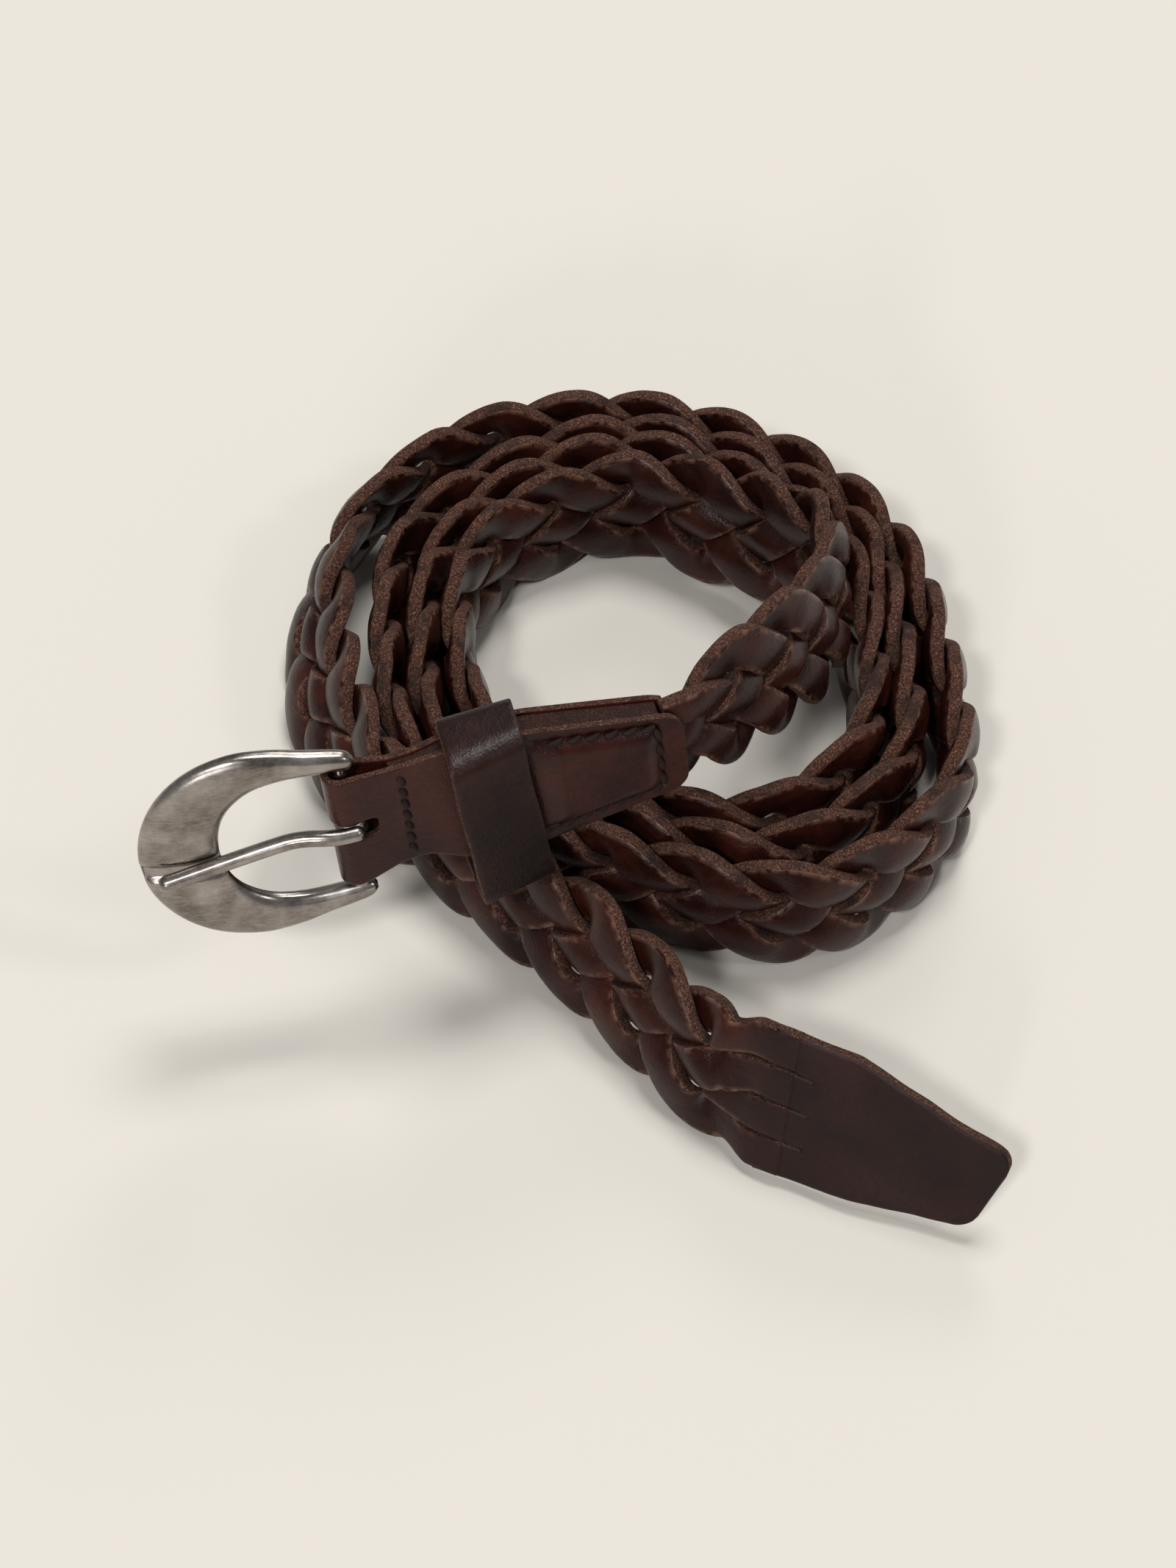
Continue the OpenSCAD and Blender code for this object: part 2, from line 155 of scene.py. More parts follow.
def on_end(p):
    """Points [s, u, v] of the straight buckle end, in mm, to points of the frame in metres."""
    return (np.asarray(p, float) @ END_AXES.T + BAR_POS + TO_MIDDLE) * MM


def on_tip(p):
    """Points [s, u, v] of the straight tip, in mm, to points of the frame in metres."""
    return (np.asarray(p, float) @ TIP_AXES.T + TIP_POS + TO_MIDDLE) * MM


# ---------------------------------------------------------------- node helpers
def material(name, rough, metal, spec):
    """A new material, its node tree and its shader."""
    m = bpy.data.materials.new(name)
    m.use_nodes = True
    t = m.node_tree
    b = t.nodes["Principled BSDF"]
    b.inputs["Roughness"].default_value = rough
    b.inputs["Metallic"].default_value = metal
    b.inputs["Specular IOR Level"].default_value = spec
    return m, t, b


def node(t, kind, **values):
    """A new node; each value goes to the input of that name, or else to the setting."""
    n = t.nodes.new(kind)
    for key, value in values.items():
        if key in n.inputs.keys():
            n.inputs[key].default_value = value
        else:
            setattr(n, key, value)
    return n


def coords(t, scale=(1, 1, 1)):
    """Object coordinates, in metres, stretched by a scale."""
    c = node(t, "ShaderNodeTexCoord")
    m = node(t, "ShaderNodeMapping")
    m.inputs["Scale"].default_value = scale
    t.links.new(c.outputs["Object"], m.inputs["Vector"])
    return m.outputs["Vector"]


def noise_tex(t, vec, scale, detail, rough=0.55):
    """Noise of scale features to the metre."""
    n = node(t, "ShaderNodeTexNoise", Scale=scale, Detail=detail, Roughness=rough)
    t.links.new(vec, n.inputs["Vector"])
    return n.outputs["Fac"]


def cells(t, vec, scale, feature="F1"):
    """Distances in a pattern of scale cells to the metre."""
    n = node(t, "ShaderNodeTexVoronoi", feature=feature, Scale=scale)
    t.links.new(vec, n.inputs["Vector"])
    return n.outputs["Distance"]


def ramp(t, fac, stops):
    """Stops are (place, colour) or (place, grey)."""
    n = node(t, "ShaderNodeValToRGB")
    e = n.color_ramp.elements
    while len(e) < len(stops):
        e.new(0.5)
    for item, (place, colour) in zip(e, stops):
        item.position = place
        item.color = (*colour, 1) if isinstance(colour, tuple) else (colour, colour, colour, 1)
    t.links.new(fac, n.inputs["Fac"])
    return n.outputs["Color"]


def times(t, a, b):
    n = node(t, "ShaderNodeMath", operation="MULTIPLY", use_clamp=True)
    t.links.new(a, n.inputs[0])
    t.links.new(b, n.inputs[1])
    return n.outputs[0]


def blend(t, fac, a, b):
    """From a to b; each is a socket or a colour."""
    n = node(t, "ShaderNodeMix", data_type="RGBA")
    for i, x in ((0, fac), (6, a), (7, b)):
        if isinstance(x, tuple):
            n.inputs[i].default_value = (*x, 1)
        else:
            t.links.new(x, n.inputs[i])
    return n.outputs[2]


def bump(t, b, *layers):
    """Stacks (height, strength, distance in mm) layers of bump onto a shader."""
    last = None
    for height, strength, dist in layers:
        n = node(t, "ShaderNodeBump", Strength=strength, Distance=dist * MM)
        t.links.new(height, n.inputs["Height"])
        if last:
            t.links.new(last, n.inputs["Normal"])
        last = n.outputs["Normal"]
    t.links.new(last, b.inputs["Normal"])


def attribute(t, name):
    return node(t, "ShaderNodeAttribute", attribute_name=name).outputs["Fac"]


# ---------------------------------------------------------------- materials
# shades run from dark to light, and roughness from low to high
STRAND_SHADES = (0.007, 0.0019, 0.0014), (0.027, 0.0063, 0.0042), (0.06, 0.0148, 0.0096)
TIP_SHADES = (0.006, 0.0016, 0.0012), (0.017, 0.0038, 0.0028), (0.03, 0.0074, 0.0052)
CHAPE_SHADES = (0.010, 0.0024, 0.0018), (0.034, 0.0074, 0.0048), (0.064, 0.0142, 0.009)
KEEPER_SHADES = (0.005, 0.0017, 0.0013), (0.015, 0.0044, 0.0032), (0.03, 0.0092, 0.0066)
EDGE_SHADES = (0.017, 0.006, 0.004), (0.09, 0.036, 0.022), (0.36, 0.185, 0.12)
RAW_SHADES = (0.012, 0.0042, 0.003), (0.045, 0.0165, 0.011), (0.13, 0.06, 0.04)
WORN_EDGE = (0.15, 0.075, 0.05)
DARK_STAIN = (0.018, 0.01, 0.009)
GLOSSY, KEEPER_ROUGH, TIP_ROUGH = (0.2, 0.32), (0.3, 0.42), (0.38, 0.52)


def leather(name, shades, grain, rough, pebble=0.0, strand=False):
    """Finished leather: patchy colour, an uneven polish, creases and pores.

    A strand's is also worn pale along its rims, and turns into the tip's leather near the tip.
    """
    m, t, b = material(name, 0.4, 0.0, 0.22)
    v = coords(t)
    patches = noise_tex(t, v, 60, 5, 0.6)
    mottle = ramp(t, noise_tex(t, v, 900, 3, 0.6), [(0.35, 0.0), (0.75, 0.4)])
    gloss = noise_tex(t, v, 240, 5)

    def patchy(tones):
        return ramp(t, patches, list(zip((0.3, 0.52, 0.75), tones)))

    def polish(low, high):
        return ramp(t, gloss, [(0.3, low), (0.7, high)])

    colour = blend(t, mottle, patchy(shades), shades[0])
    roughness = polish(*rough)
    if strand:
        wear = ramp(t, noise_tex(t, v, 500, 4), [(0.42, 0.0), (0.62, 1.0)])
        colour = blend(t, times(t, attribute(t, "rim"), wear), colour, WORN_EDGE)
        near_tip = attribute(t, "tip")
        colour = blend(t, near_tip, colour, patchy(TIP_SHADES))
        roughness = blend(t, near_tip, roughness, polish(*TIP_ROUGH))
    t.links.new(colour, b.inputs["Base Color"])
    t.links.new(roughness, b.inputs["Roughness"])
    creases = noise_tex(t, coords(t, (1, 1, 2.2)), 420, 6, 0.65)
    pores = cells(t, v, 1900 / grain)
    fine = noise_tex(t, v, 2600, 3, 0.6)
    layers = [(creases, 0.3, 0.4), (pores, 0.35, 0.12), (fine, 0.25, 0.08)]
    if pebble:
        layers.insert(0, (cells(t, v, 900, "SMOOTH_F1"), pebble, 0.3))
    bump(t, b, *layers)
    return m


def cut_edge(name, shades):
    """The raw cut edge of leather: short pale fibres over brown, with dark stained patches."""
    m, t, b = material(name, 0.85, 0.0, 0.25)
    v = coords(t)
    fibres = noise_tex(t, v, 2500, 5, 0.75)
    specks = cells(t, v, 2200)
    stain = ramp(t, noise_tex(t, v, 150, 4), [(0.52, 0.0), (0.66, 0.75)])
    colour = ramp(t, fibres, list(zip((0.38, 0.53, 0.72), shades)))
    t.links.new(blend(t, stain, colour, DARK_STAIN), b.inputs["Base Color"])
    bump(t, b, (fibres, 1.0, 0.5), (specks, 0.7, 0.3))
    return m


def nickel(name):
    """Cast nickel, tarnished brown in patches, with pale streaks in its colour that are partly rubbed metal
    and partly a painted reflection of brushed metal.
    """
    m, t, b = material(name, 0.3, 1.0, 0.5)
    v = coords(t)
    tarnish = noise_tex(t, v, 110, 5, 0.65)
    dents = noise_tex(t, v, 130, 3)
    dots = noise_tex(t, v, 1500, 4, 0.7)
    rubbed_and_reflection_streaks = noise_tex(t, coords(t, (1.2, 1, 9)), 420, 4, 0.6)
    colour = ramp(t, tarnish, [(0.3, (0.13, 0.106, 0.09)), (0.64, (0.37, 0.335, 0.31))])
    # painted reflection: pale streaks blended into the colour stand in for brushed metal's streaky reflections
    # as well as for rubbed places
    colour = blend(t, ramp(t, rubbed_and_reflection_streaks, [(0.4, 0.0), (0.75, 0.25)]), colour, (0.66, 0.64, 0.61))
    t.links.new(colour, b.inputs["Base Color"])
    t.links.new(ramp(t, noise_tex(t, v, 300, 5), [(0.3, 0.2), (0.7, 0.36)]), b.inputs["Roughness"])
    bump(t, b, (dents, 0.12, 0.4), (dots, 0.14, 0.05), (rubbed_and_reflection_streaks, 0.1, 0.05))
    return m


def thread_material(name):
    """Dark twisted thread."""
    m, t, b = material(name, 0.6, 0.0, 0.25)
    v = coords(t)
    bands = {"wave_type": "BANDS", "bands_direction": "DIAGONAL"}
    twist = node(t, "ShaderNodeTexWave", Scale=1500, Distortion=2.0, **bands)
    t.links.new(v, twist.inputs["Vector"])
    colour = blend(t, noise_tex(t, v, 900, 3), (0.006, 0.0028, 0.0024), (0.024, 0.0105, 0.008))
    t.links.new(colour, b.inputs["Base Color"])
    bump(t, b, (twist.outputs["Fac"], 0.7, 0.2), (noise_tex(t, v, 3000, 3), 0.3, 0.1))
    return m


STRAND_FACE = leather("strand_face", STRAND_SHADES, 0.6, GLOSSY, strand=True)
TIP_FACE = leather("tip_face", TIP_SHADES, 0.5, TIP_ROUGH)
CHAPE_FACE = leather("chape_face", CHAPE_SHADES, 0.7, GLOSSY, 0.12)
KEEPER_FACE = leather("keeper_face", KEEPER_SHADES, 0.8, KEEPER_ROUGH, 0.12)
CUT_EDGE = cut_edge("cut_edge", EDGE_SHADES)
RAW_LEATHER = cut_edge("raw_leather", RAW_SHADES)
NICKEL = nickel("nickel")
THREAD = thread_material("thread")


# ---------------------------------------------------------------- mesh helpers
def link_smooth(name, me, mats):
    """Puts a mesh into the scene as a smooth-shaded object with its materials."""
    for m in mats:
        me.materials.append(m)
    me.polygons.foreach_set("use_smooth", np.ones(len(me.polygons), bool))
    o = bpy.data.objects.new(name, me)
    bpy.context.scene.collection.objects.link(o)
    return o


def add_mesh(name, verts, faces, mats, mat_index=None, **values):
    """An object from points in metres; the values are named numbers at its points."""
    me = bpy.data.meshes.new(name)
    me.from_pydata([tuple(p) for p in np.asarray(verts, float)], [], [tuple(int(i) for i in f) for f in faces])
    o = link_smooth(name, me, mats)
    if mat_index is not None:
        me.polygons.foreach_set("material_index", np.asarray(mat_index, np.int32))
    for key, numbers in values.items():
        a = me.attributes.new(key, "FLOAT", "POINT")
        a.data.foreach_set("value", np.asarray(numbers, np.float32))
    me.update()
    return o


def tube_faces(rings, n, start=0):
    """The faces of a tube of rings of n points each, with its two end caps last."""
    i = np.arange(rings - 1)[:, None] * n
    j = np.arange(n)[None]
    k = (np.arange(n)[None] + 1) % n
    f = np.stack([i + j, i + k, i + n + k, i + n + j], -1).reshape(-1, 4) + start
    faces = [tuple(x) for x in f]
    faces.append(tuple(start + np.arange(n)[::-1]))
    faces.append(tuple(start + (rings - 1) * n + np.arange(n)))
    return faces


def wander(x, seed, size, amount):
    """Smooth repeatable random wandering along a length."""
    return np.array([noise.noise(Vector((v / size, seed * 7.3, 0.5))) for v in np.atleast_1d(x)]) * amount


def round_corner(along, end, radius):
    """How far a corner of this radius cuts in towards an end."""
    d = np.clip(along - (end - radius), 0, radius)
    return radius - np.sqrt(np.maximum(radius**2 - d**2, 0))


# ---------------------------------------------------------------- strands
PITCH, RISE = 16.6, 1.75
PERIOD = 4 * PITCH
STRAND_W, STRAND_T, STRAND_STEP = 8.3, 2.8, 0.8
SWING = (STRAP_W - CAD_STRAND_W) / 2
TIP_START = ROUTE_LEN - 30
BRAID_START, BRAID_END = 58.5, TIP_START - 11
END_PHASE, SKEW = -68.0, 21.0
JOIN_ROWS = 14
# the tip's slits, and how far the strands' tails run to either side of its start
SLIT_LEN, SLIT_GAP, TIP_T = 7.0, 7.7, 2.4
TAIL_REACH = 3.4


def squeeze(s):
    """The braid comes out of the narrow end of the tab and spreads to its full width."""
    narrow, spread_start, spread_len = 0.66, 59, 21
    f = np.clip((s - spread_start) / spread_len, 0, 1)
    return narrow + (1 - narrow) * f * f * (3 - 2 * f)


def wave(a):
    """A strand's swing across the strap: straighter runs than a sine's."""
    return 0.9 * (sind(a) - sind(3 * a) / 9)


def wave_slope(a):
    return 0.9 * (cosd(a) - cosd(3 * a) / 3)


def level(a):
    """Over, under, over for half a turn and the reverse for the next, with rounded changes."""
    knots_a = [-90, -68, -28, -19.5, 19.5, 28, 68, 90]
    knots_l = [0, 1, 1, -1, -1, 1, 1, 0]
    total = 0
    for d, w in ((-18, 1), (-9, 2), (0, 3), (9, 2), (18, 1)):
        x = a + d + 90
        half = np.floor(x / 180)
        total = total + w * np.interp(x - 180 * half - 90, knots_a, knots_l) * np.where(half % 2 == 0, 1, -1)
    return total / 9


def strand_section():
    """[across, out] of a strand's outline, as parts of its width and half its thickness."""
    flat = [0.42, 0.33, 0.22, 0.11, 0, -0.11, -0.22, -0.33, -0.42]
    top = [(0.462, 0.93), *[(x, 1) for x in flat], (-0.462, 0.93)]
    left = [(-0.488, 0.8), (-0.5, 0.4), (-0.5, -0.4), (-0.488, -0.8)]
    bottom = [(-x, -y) for x, y in top]
    right = [(-x, -y) for x, y in left]
    return np.array(top + left + bottom + right)


ACROSS, OUT = strand_section().T
BOW = 1 - (2 * ACROSS) ** 2
AT_EDGE = np.abs(ACROSS) > 0.46
EDGE_QUAD = AT_EDGE & np.roll(AT_EDGE, -1)


def tip_bend(s):
    """How far the tip bends out of its plane."""
    return 0.5 * np.sin(s / 13) * np.clip(s / 10, 0, 1)


def braided_part(k):
    """Rows of [s], [u] and [v] of strand k in the braid."""
    s = np.arange(BRAID_START, BRAID_END, STRAND_STEP)
    a = (s - BRAID_END) * 360 / PERIOD + END_PHASE - 90 * k
    u = -SWING * wave(a) * squeeze(s)
    slope = -SWING * wave_slope(a) * 2 * math.pi / PERIOD * squeeze(s)
    n = np.sqrt(1 + slope**2)
    press = np.interp(s, [66, 84], [0.75, 1.0])
    turn = -np.tanh(4 * cosd(a))
    width = STRAND_W * squeeze(s) + wander(s, k + 1, 9, 0.5) + wander(s, k + 11, 2.2, 0.22)
    x = width[:, None] * ACROSS
    lift = RISE * press[:, None] * level(a[:, None] + turn[:, None] * SKEW * ACROSS) * 1.03
    dome = 0.84 + 0.46 * BOW
    ss = s[:, None] - x * (slope / n)[:, None]
    uu = u[:, None] + x / n[:, None] + wander(s, k + 21, 12, 0.35)[:, None]
    vv = lift + OUT * dome * STRAND_T / 2 + wander(s, k + 31, 14, 0.25)[:, None]
    return ss, uu, vv


def tail_part(k):
    """Rows of [s], [u] and [v] of strand k where it runs on between the slits of the tip."""
    s = np.arange(TIP_START - TAIL_REACH, TIP_START + TAIL_REACH, 0.6)
    past = s - TIP_START
    f = np.clip((past + TAIL_REACH) / 6, 0, 1)
    lane = [1.5, 0.5, -1.5, -0.5][k]
    width = SLIT_GAP - 0.5 + 0.3 * f
    thin = np.clip(1.02 - (past - 0.4) * 0.02, 0.7, 1.03)
    dome = 1 + 0.16 * (1 - f[:, None]) * BOW
    ss = np.repeat(s[:, None], len(ACROSS), 1)
    uu = lane * SLIT_GAP + width[:, None] * ACROSS
    vv = OUT * dome * (TIP_T / 2) * thin[:, None] + tip_bend(past)[:, None]
    return ss, uu, vv


def strand(k):
    """A strand: its braided part, smooth joining rows and its tail in the tip."""
    f = np.linspace(0, 1, JOIN_ROWS + 2)[1:-1][:, None]
    ease = f * f * (3 - 2 * f)
    parts = zip(braided_part(k), tail_part(k), (f, ease, ease))
    ss, uu, vv = [np.vstack([braid, braid[-1] + (tail[0] - braid[-1]) * g, tail]) for braid, tail, g in parts]
    rows, cols = ss.shape
    index = np.r_[np.tile(EDGE_QUAD, rows - 1).astype(int), 1, 1]
    rim = np.tile(np.clip((np.abs(ACROSS) - 0.36) / 0.1, 0, 1), rows)
    near_tip = np.clip((ss[:, :1] - TIP_START + 9) / 10, 0, 1).repeat(cols, 1).ravel()
    verts, faces = strap_point(ss, uu, vv).reshape(-1, 3), tube_faces(rows, cols)
    mats = [STRAND_FACE, CUT_EDGE]
    o = add_mesh(f"strand_{k + 1}_leather", verts, faces, mats, index, rim=rim, tip=near_tip)
    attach(o, "strap")
    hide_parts(f"strand_{k + 1}")


for number in range(4):
    strand(number)


# ---------------------------------------------------------------- flat leather shapes
def leather_sheet(name, pts, kept, thick, mats, bevel):
    """A sheet over the kept cells of points[rows, cols] in metres, thickened both ways, with raw rims."""
    rows, cols = pts.shape[:2]
    bm = bmesh.new()
    used = {}

    def vert(p):
        """The vertex at a point; points that fall together share one."""
        key = tuple(np.round(p * 1e7).astype(int))
        if key not in used:
            used[key] = bm.verts.new(p)
        return used[key]

    for i in range(rows - 1):
        for j in range(cols - 1):
            if not kept[i, j]:
                continue
            quad = []
            for a, b in ((i, j), (i, j + 1), (i + 1, j + 1), (i + 1, j)):
                corner = vert(pts[a, b])
                if corner not in quad:
                    quad.append(corner)
            if len(quad) > 2:
                bm.faces.new(quad)
    me = bpy.data.meshes.new(name)
    bm.normal_update()
    bm.to_mesh(me)
    bm.free()
    o = link_smooth(name, me, mats)
    shell = o.modifiers.new("thickness", "SOLIDIFY")
    shell.thickness = thick * MM
    shell.offset = 0
    shell.use_even_offset = True
    shell.material_offset_rim = 1
    b = o.modifiers.new("rounding", "BEVEL")
    b.width = bevel * MM
    b.segments = 2
    b.limit_method = "ANGLE"
    b.angle_limit = math.radians(50)
    return o


def plate(name, s, u, v, kept, thick, place, mats):
    """A closed piece over the kept cells of a grid, as thick as thick says at each grid point."""
    rows, cols = s.shape
    top = place(np.stack([s, u, v + thick / 2], -1)).reshape(-1, 3)
    low = place(np.stack([s, u, v - thick / 2], -1)).reshape(-1, 3)
    count = rows * cols
    faces, index = [], []
    for i in range(rows - 1):
        for j in range(cols - 1):
            if not kept[i, j]:
                continue
            a, b, c, d = i * cols + j, (i + 1) * cols + j, (i + 1) * cols + j + 1, i * cols + j + 1
            faces += [(a, b, c, d), (d + count, c + count, b + count, a + count)]
            index += [0, 0]
            for (di, dj), (p, q) in (((-1, 0), (d, a)), ((1, 0), (b, c)), ((0, -1), (a, b)), ((0, 1), (c, d))):
                y, x = i + di, j + dj
                if y < 0 or x < 0 or y >= rows - 1 or x >= cols - 1 or not kept[y, x]:
                    faces.append((q, p, p + count, q + count))
                    index.append(1)
    verts = np.vstack([top, low])
    used = np.unique(np.array([n for f in faces for n in f]))
    new = -np.ones(len(verts), int)
    new[used] = np.arange(len(used))
    return add_mesh(name, verts[used], [tuple(new[list(f)]) for f in faces], mats, index)


# ---------------------------------------------------------------- tip
TIP_LEN, TIP_HALF, TIP_CORNER = 45.0, 2 * SLIT_GAP, 4.0


def tip_columns():
    """Places across the tip and which cells are slits; the outermost cells round the edges off."""
    f = [0.0, 0.012, 0.03]
    for n in range(4):
        f += list(n / 4 + np.linspace(0.006, 0.244, 10)[2 * (n == 0) : (8 if n == 3 else 10)])
    f = np.array(sorted(f + [0.97, 0.988, 1.0]))
    slit = np.array([any(f[j] < n / 4 < f[j + 1] for n in (1, 2, 3)) for j in range(len(f) - 1)])
    return f, slit


def tip():
    """The solid end plate, cut on the slant, with three slits that part the strands."""
    in_slits = np.linspace(-1.5, SLIT_LEN, 16)
    plain = np.linspace(SLIT_LEN + 0.6, TIP_LEN - 5, 50)
    along = np.r_[in_slits, plain, np.linspace(TIP_LEN - 4.7, TIP_LEN, 16)]
    low = np.interp(along, [0, 14, TIP_LEN], [-TIP_HALF, -TIP_HALF, -TIP_HALF + 1.7])
    high = np.interp(along, [0, 14, TIP_LEN], [TIP_HALF, TIP_HALF - 1.5, TIP_HALF - 12])
    cut = round_corner(along, TIP_LEN, TIP_CORNER)
    free = np.clip(along / 8, 0, 1)
    low = low + cut * 0.8 + wander(along, 5, 6, 0.25) * free
    high = high - cut + wander(along, 6, 5, 0.3) * free
    f, slit = tip_columns()
    u = low[:, None] * (1 - f) + high[:, None] * f
    s = np.repeat(along[:, None], len(f), 1)
    kept = ~((along[:-1, None] < SLIT_LEN - 0.2) & slit[None])
    ripple = 0.25 * (np.sin(s / 5 + u / 6) + np.sin(u / 3.1)) * np.clip((s - 3) / 12, 0, 1)
    v = tip_bend(s) + ripple
    edge = np.minimum(u - low[:, None], high[:, None] - u)
    end = TIP_LEN - s
    rounding = 1 - 0.28 * np.clip(1 - np.minimum(edge, end) / 0.5, 0, 1) ** 2
    thick = TIP_T * rounding * np.clip(0.8 + (s + 1.5) * 0.07, 0, 1)
    near_low = np.clip(1 - (u + TIP_HALF) / (2 * TIP_HALF) * 1.6, 0, 1)
    slant = 6.5 * near_low * np.clip((s - 8) / (TIP_LEN - 8), 0, 1)
    o = plate("tip_leather", s - slant, u, v, kept, thick, on_tip, [TIP_FACE, CUT_EDGE])
    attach(o, "strap")
    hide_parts("tip")


tip()


# ---------------------------------------------------------------- folded end
BAR_R, PLY_T = 1.8, 1.4
FOLD_R = BAR_R + 0.3
TAB_LEN, FRONT_END = 61.5, 26.0
BACK_END = TAB_LEN - 1.8
# a ply's inner face: round the bar, pinched at the stitches, then apart over the braid's end
PINCH, MOUTH = 0.9, 2.3
PLY_S = [0, 8.5, 13, 34, BACK_END]
PLY_V = [FOLD_R, PINCH, PINCH, MOUTH, MOUTH]
# half widths of the chape, at its upper and its lower edge
EDGE_S = [-6, 0.5, 8, 13, 20, 33, TAB_LEN - 3.5, TAB_LEN]
TOP_U = [12.5, 12.5, 11.6, 11.8, 13.3, 13.3, 8.5, 6.5]
LOW_U = [12.5, 12.5, 10.5, 10.2, 13.3, 13.3, 8.5, 6.5]
# the slot for the prong, and the columns to either side of it
SLOT_HALF, SLOT_END, SLOT_MID = 1.95, 5.4, 0.25
SIDE_COLS = 15
# the tab's stitches: two rows that taper towards the braid, and a row across the end
ROW_S, ROW_U, ROW_SLOPE, ROW_END = 36.5, 10, 0.149, 56.6
TAB_CORNER, TAB_COLS = 3.4, 44
PUFF, PUFF_RISE, GROOVE = 1.6, 3.2, 0.6


def ply_at(s):
    """Height of a ply's inner face, with rounded corners."""
    total = 0
    for d, w in ((-2, 1), (-1, 2), (0, 3), (1, 2), (2, 1)):
        total = total + w * np.interp(s + d, PLY_S, PLY_V)
    return total / 9


def edge_at(s, xs, us):
    """Half width at s, with rounded corners."""
    total = 0
    for d in (-1.5, -0.75, 0, 0.75, 1.5):
        total = total + np.interp(s + d, xs, us)
    return total / 5


def chape():
    """The folded piece: a strip that runs in along the front, round the bar and back along the back."""
    mid_r = FOLD_R + PLY_T / 2
    front = np.arange(FRONT_END, 0, -0.6)
    arc = np.radians(np.linspace(90, 270, 22))
    back = np.arange(0.6, BACK_END, 0.6)
    s = np.r_[front, mid_r * np.cos(arc), back]
    v = np.r_[ply_at(front) + PLY_T / 2, mid_r * np.sin(arc), -ply_at(back) - PLY_T / 2]
    top = edge_at(s, EDGE_S, TOP_U)
    low = -edge_at(s, EDGE_S, LOW_U)
    # the slot runs round the fold; past its end the columns spread out again
    inside = s < SLOT_END
    near = np.clip(s - (SLOT_END - SLOT_HALF), 0, None)
    slot = np.sqrt(np.maximum(SLOT_HALF**2 - near**2, 0))
    hole = np.where(inside, slot, np.clip((s - SLOT_END) * 0.8, 0.0, 2.5))
    f = np.linspace(0, 1, SIDE_COLS)
    left = low[:, None] + (SLOT_MID - hole - low)[:, None] * f
    right = (SLOT_MID + hole)[:, None] + (top - SLOT_MID - hole)[:, None] * f
    u = np.hstack([left, right])
    ss = np.repeat(s[:, None], u.shape[1], 1)
    vv = np.repeat(v[:, None], u.shape[1], 1)
    kept = np.ones((len(s) - 1, u.shape[1] - 1), bool)
    kept[inside[:-1] & inside[1:], SIDE_COLS - 1] = False
    pts = on_end(np.stack([ss, u, vv], -1))
    o = leather_sheet("chape_leather", pts, kept, PLY_T, [CHAPE_FACE, CUT_EDGE], 0.25)
    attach(o, "strap")
    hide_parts("chape")


def tab():
    """The padded front patch, pressed down along its stitches."""
    along = np.r_[np.linspace(FRONT_END + 0.3, TAB_LEN - 4, 60), np.linspace(TAB_LEN - 3.9, TAB_LEN, 18)]
    half = edge_at(along, [20, 33, TAB_LEN - 2, TAB_LEN + 2], [13.3, 13.3, 8.6, 8.1])
    half = half - round_corner(along, TAB_LEN, TAB_CORNER)
    f = np.linspace(0, 1, TAB_COLS)
    u = -half[:, None] * (1 - f) + half[:, None] * f
    s = np.repeat(along[:, None], TAB_COLS, 1)
    row = ROW_U - (s - ROW_S) * ROW_SLOPE
    side = np.clip((row - np.abs(u)) / PUFF_RISE, 0, 1)
    end = np.clip((ROW_END - s) / PUFF_RISE, 0, 1)
    puff = PUFF * np.sin(side * math.pi / 2) * np.sin(end * math.pi / 2) * np.clip((s - 30) / 8, 0, 1)
    side_groove = GROOVE * np.exp(-(((np.abs(u) - row) / 0.8) ** 2)) * (s < 57.2)
    end_groove = GROOVE * np.exp(-(((s - ROW_END) / 0.6) ** 2)) * (np.abs(u) < row)
    v = ply_at(s) + PLY_T / 2 + puff - (side_groove + end_groove) * (s > 34)
    pts = on_end(np.stack([s, u, v], -1))
    kept = np.ones((len(along) - 1, TAB_COLS - 1), bool)
    o = leather_sheet("tab_leather", pts, kept, PLY_T, [CHAPE_FACE, CUT_EDGE], 0.3)
    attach(o, "strap")
    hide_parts("tab")


chape()
tab()


# ---------------------------------------------------------------- stitches
STITCH_RING, STITCH_ROWS = 10, 9
# how far a stitch stays off its holes, and how far its ends lie off the row
HOLE_GAP, STITCH_SKEW = 0.3, 0.9 / 2
# (side, radius, how deep it is sunk) on the front and on the back
STITCH_SIDES = ((1, 0.66, 0.2), (-1, 0.5, 0.35))


def stitches(name, places, replaced):
    """Short fat stitches between neighbouring holes [s, u], on the front and the back."""
    places = np.array(places)
    ring = 2 * math.pi * np.arange(STITCH_RING) / STITCH_RING
    verts, faces = [], []
    for side, radius, sunk in STITCH_SIDES:
        for a, b in zip(places[:-1], places[1:]):
            d = (b - a) / np.linalg.norm(b - a)
            skew = np.array([-d[1], d[0]]) * STITCH_SKEW * side
            begin = a + d * HOLE_GAP - skew
            run = b - d * HOLE_GAP + skew - begin
            d = run / np.linalg.norm(run)
            across = np.array([-d[1], d[0]])
            start = len(verts)
            for f in np.arange(STITCH_ROWS) / (STITCH_ROWS - 1):
                c = begin + run * f
                r = radius * math.sin(math.pi * (0.12 + 0.76 * f)) ** 0.5
                h = side * (ply_at(c[0]) + PLY_T - sunk + 0.4 * math.sin(math.pi * f))
                for t in ring:
                    verts.append([*(c + across * r * math.cos(t)), h + r * math.sin(t)])
            faces += tube_faces(STITCH_ROWS, STITCH_RING, start)
    o = add_mesh(name, on_end(verts), faces, [THREAD])
    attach(o, "strap")
    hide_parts(replaced)


